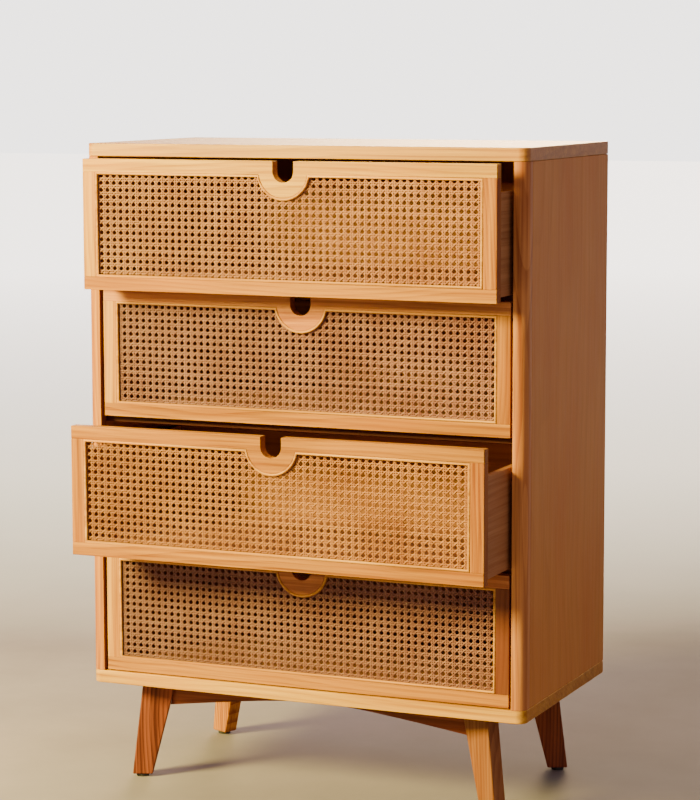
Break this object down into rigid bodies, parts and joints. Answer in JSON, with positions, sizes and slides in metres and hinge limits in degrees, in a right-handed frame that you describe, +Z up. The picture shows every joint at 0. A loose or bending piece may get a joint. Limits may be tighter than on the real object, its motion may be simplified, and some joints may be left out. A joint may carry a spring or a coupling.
{
  "type": "chest of drawers",
  "caption": "Tall chest of drawers in light wood with woven-cane fronts, round finger notches and tapered splayed legs; each drawer slides on its own.",
  "frame": {"origin": "on the floor, under the centre of the bounding box with the drawers as the picture shows them", "axes": "+X to the right seen from the front, +Y to the back, +Z up; the drawers pull out along -Y"},
  "size_m": [0.8, 0.5302, 1.111],
  "materials": {
    "oak": "clear satin lacquer on warm honey-coloured solid wood",
    "leg_wood": "clear satin lacquer on reddish wood",
    "inner_wood": "unfinished",
    "drawer_box_wood": "sanded, thinly lacquered",
    "plywood": "unfinished thin board",
    "cane": "natural peeled cane, satin",
    "bead": "clear satin lacquer",
    "glide_pad": "matte black"
  },
  "bodies": {
    "carcass": {"apron_back": "leg_wood", "apron_front": "leg_wood", "apron_left": "leg_wood", "apron_right": "leg_wood", "back_panel": "plywood", "bottom_panel": "oak", "corner_post_left": "oak", "corner_post_right": "oak", "divider_rail_1": "inner_wood", "divider_rail_2": "inner_wood", "divider_rail_3": "inner_wood", "glide_back_left": "glide_pad", "glide_back_right": "glide_pad", "glide_front_left": "glide_pad", "glide_front_right": "glide_pad", "leg_back_left": "leg_wood", "leg_back_right": "leg_wood", "leg_front_left": "leg_wood", "leg_front_right": "leg_wood", "runner_1_left": "inner_wood", "runner_1_right": "inner_wood", "runner_2_left": "inner_wood", "runner_2_right": "inner_wood", "runner_3_left": "inner_wood", "runner_3_right": "inner_wood", "runner_4_left": "inner_wood", "runner_4_right": "inner_wood", "side_panel_left": "oak", "side_panel_right": "oak", "top_panel": "oak"},
    "drawer_1": {"drawer_1_back": "drawer_box_wood", "drawer_1_bead": "bead", "drawer_1_bottom": "plywood", "drawer_1_cane": "cane", "drawer_1_front_frame": "oak", "drawer_1_side_left": "drawer_box_wood", "drawer_1_side_right": "drawer_box_wood"},
    "drawer_2": {"drawer_2_back": "drawer_box_wood", "drawer_2_bead": "bead", "drawer_2_bottom": "plywood", "drawer_2_cane": "cane", "drawer_2_front_frame": "oak", "drawer_2_side_left": "drawer_box_wood", "drawer_2_side_right": "drawer_box_wood"},
    "drawer_3": {"drawer_3_back": "drawer_box_wood", "drawer_3_bead": "bead", "drawer_3_bottom": "plywood", "drawer_3_cane": "cane", "drawer_3_front_frame": "oak", "drawer_3_side_left": "drawer_box_wood", "drawer_3_side_right": "drawer_box_wood"},
    "drawer_4": {"drawer_4_back": "drawer_box_wood", "drawer_4_bead": "bead", "drawer_4_bottom": "plywood", "drawer_4_cane": "cane", "drawer_4_front_frame": "oak", "drawer_4_side_left": "drawer_box_wood", "drawer_4_side_right": "drawer_box_wood"}
  },
  "joints": [
    {"name": "drawer_1_slide", "type": "slide", "parent": "carcass", "child": "drawer_1", "axis": [0, -1, 0], "range_m": [-0.0664, 0.2236]},
    {"name": "drawer_2_slide", "type": "slide", "parent": "carcass", "child": "drawer_2", "axis": [0, -1, 0], "range_m": [0, 0.29]},
    {"name": "drawer_3_slide", "type": "slide", "parent": "carcass", "child": "drawer_3", "axis": [0, -1, 0], "range_m": [-0.119, 0.171]},
    {"name": "drawer_4_slide", "type": "slide", "parent": "carcass", "child": "drawer_4", "axis": [0, -1, 0], "range_m": [0, 0.29]}
  ]
}
